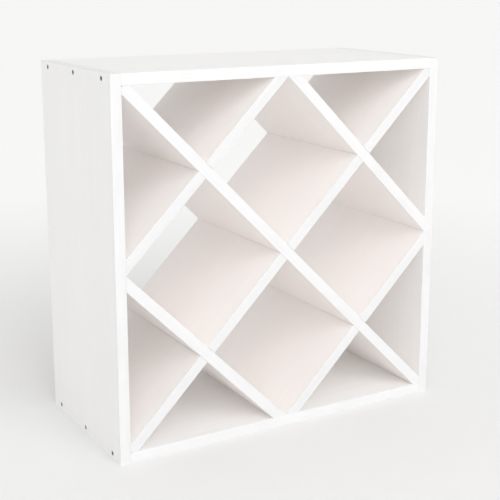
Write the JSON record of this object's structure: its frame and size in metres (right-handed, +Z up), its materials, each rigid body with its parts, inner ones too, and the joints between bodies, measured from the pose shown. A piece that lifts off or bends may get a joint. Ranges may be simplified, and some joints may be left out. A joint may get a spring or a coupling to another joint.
{
  "type": "wine rack",
  "caption": "Square open wine rack cube of white laminated board, with slotted diagonal dividers that make diamond and triangular cells for lying bottles.",
  "frame": {"origin": "middle of the base, on the surface that the rack stands on", "axes": "+Z up, the open front faces -Y, +X to the right as seen from the front"},
  "size_m": [0.61, 0.29, 0.61],
  "materials": {
    "laminated_board": "satin white melamine laminate on chipboard",
    "edge_band": "satin white plastic edge band",
    "screw_steel": "zinc-plated steel",
    "beech_dowel": "raw beech"
  },
  "bodies": {
    "root": {"left_side": "laminated_board", "right_side": "laminated_board", "top_panel": "laminated_board", "bottom_panel": "laminated_board", "falling_long_divider": "laminated_board", "rising_long_divider": "laminated_board", "upper_left_divider": "laminated_board", "upper_right_divider": "laminated_board", "lower_left_divider": "laminated_board", "lower_right_divider": "laminated_board", "left_side_front_band": "edge_band", "left_side_back_band": "edge_band", "left_side_top_band": "edge_band", "right_side_front_band": "edge_band", "right_side_back_band": "edge_band", "right_side_top_band": "edge_band", "top_panel_front_band": "edge_band", "top_panel_back_band": "edge_band", "bottom_panel_front_band": "edge_band", "bottom_panel_back_band": "edge_band", "falling_long_divider_front_band": "edge_band", "falling_long_divider_back_band": "edge_band", "rising_long_divider_front_band": "edge_band", "rising_long_divider_back_band": "edge_band", "upper_left_divider_front_band": "edge_band", "upper_left_divider_back_band": "edge_band", "upper_right_divider_front_band": "edge_band", "upper_right_divider_back_band": "edge_band", "lower_left_divider_front_band": "edge_band", "lower_left_divider_back_band": "edge_band", "lower_right_divider_front_band": "edge_band", "lower_right_divider_back_band": "edge_band", "top_left_screws": "screw_steel", "top_right_screws": "screw_steel", "bottom_left_screws": "screw_steel", "bottom_right_screws": "screw_steel", "top_left_dowels": "beech_dowel", "top_right_dowels": "beech_dowel", "bottom_left_dowels": "beech_dowel", "bottom_right_dowels": "beech_dowel"}
  },
  "joints": []
}
